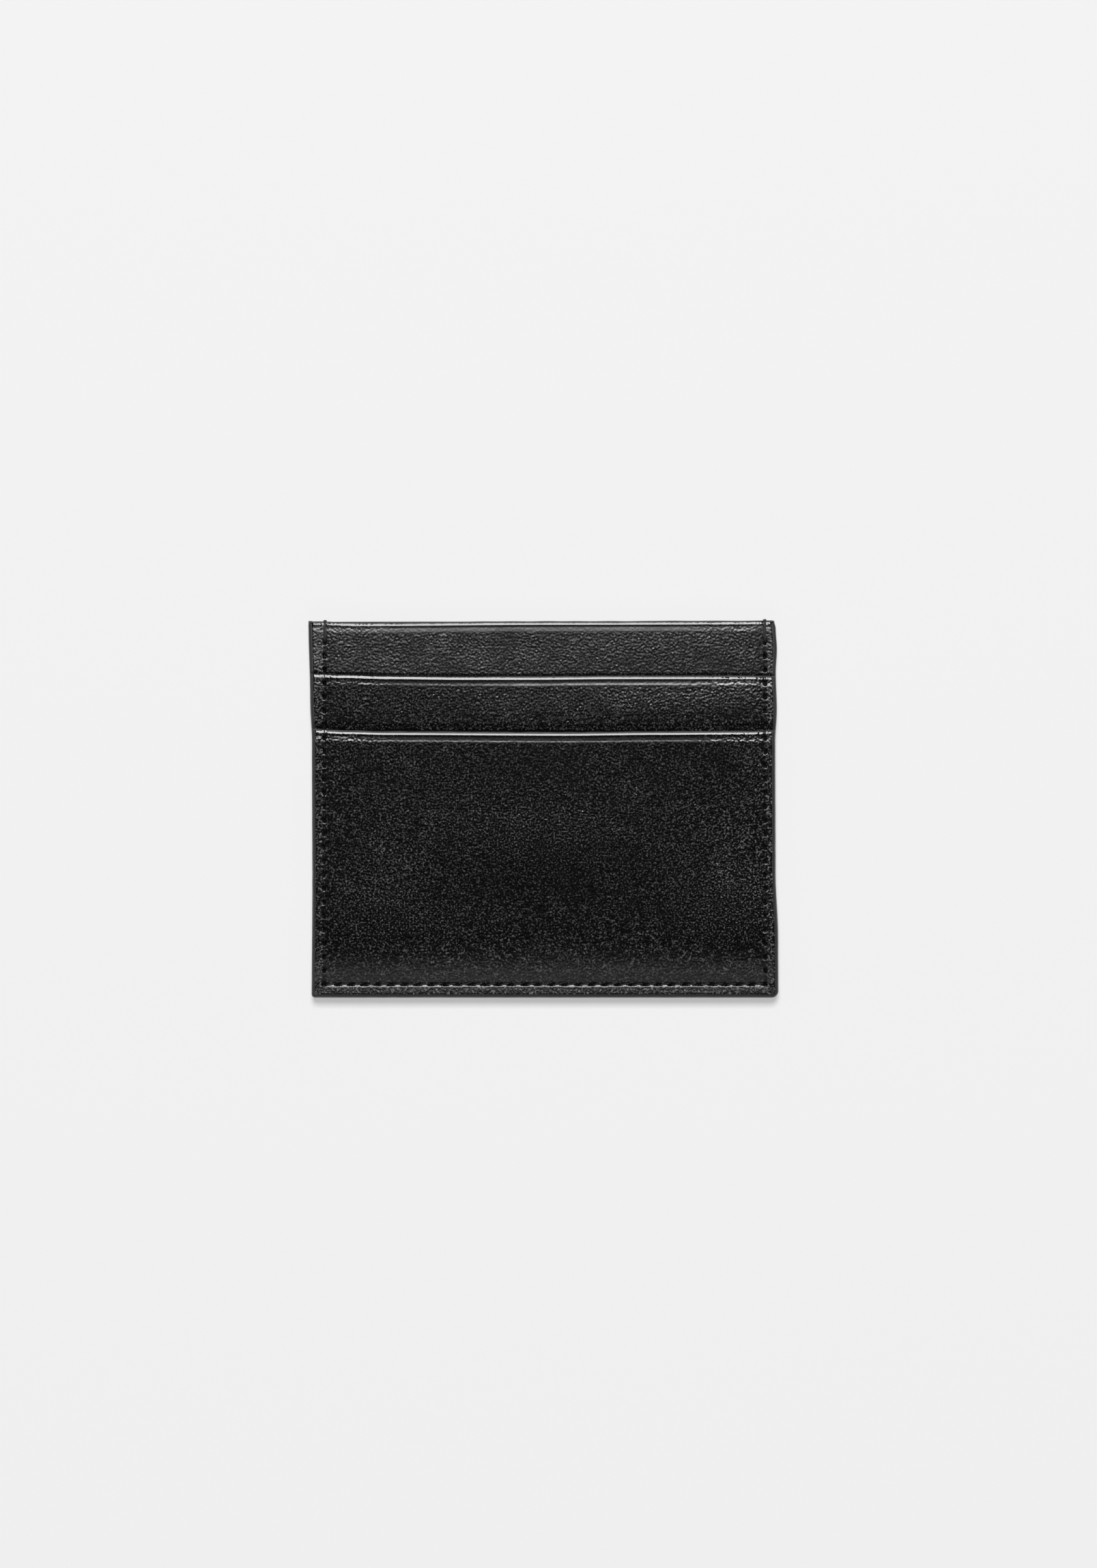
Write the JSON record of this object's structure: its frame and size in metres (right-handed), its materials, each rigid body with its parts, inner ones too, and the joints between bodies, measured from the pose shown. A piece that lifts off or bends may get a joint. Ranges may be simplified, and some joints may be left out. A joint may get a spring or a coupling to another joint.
{
  "type": "card holder",
  "caption": "Slim stitched leather holder with stacked card slots on both faces and a centre pocket, lying flat on its back.",
  "frame": {"origin": "centre of the bounding box in X and Y, on the plane the back face rests on", "axes": "+X along the width, +Y towards the slot mouths, +Z out of the front face"},
  "size_m": [0.1, 0.0814, 0.0047],
  "materials": {
    "leather": "fine pebble grain, semi-gloss",
    "edge_paint": "smooth satin",
    "thread": "waxed, twisted",
    "lining": "fine plain weave"
  },
  "bodies": {
    "root": {"front_outer_pocket": "leather", "front_outer_mouth_paint": "edge_paint", "front_middle_pocket": "leather", "front_middle_mouth_paint": "edge_paint", "front_card_stop_stitches": "thread", "front_panel": "leather", "front_panel_mouth_paint": "edge_paint", "front_panel_lining": "lining", "back_outer_pocket": "leather", "back_outer_mouth_paint": "edge_paint", "back_middle_pocket": "leather", "back_middle_mouth_paint": "edge_paint", "back_card_stop_stitches": "thread", "back_panel": "leather", "back_panel_mouth_paint": "edge_paint", "back_panel_lining": "lining", "perimeter_edge_paint": "edge_paint", "needle_thread": "thread", "bobbin_thread": "thread", "left_edge_loops": "thread", "right_edge_loops": "thread"}
  },
  "joints": []
}
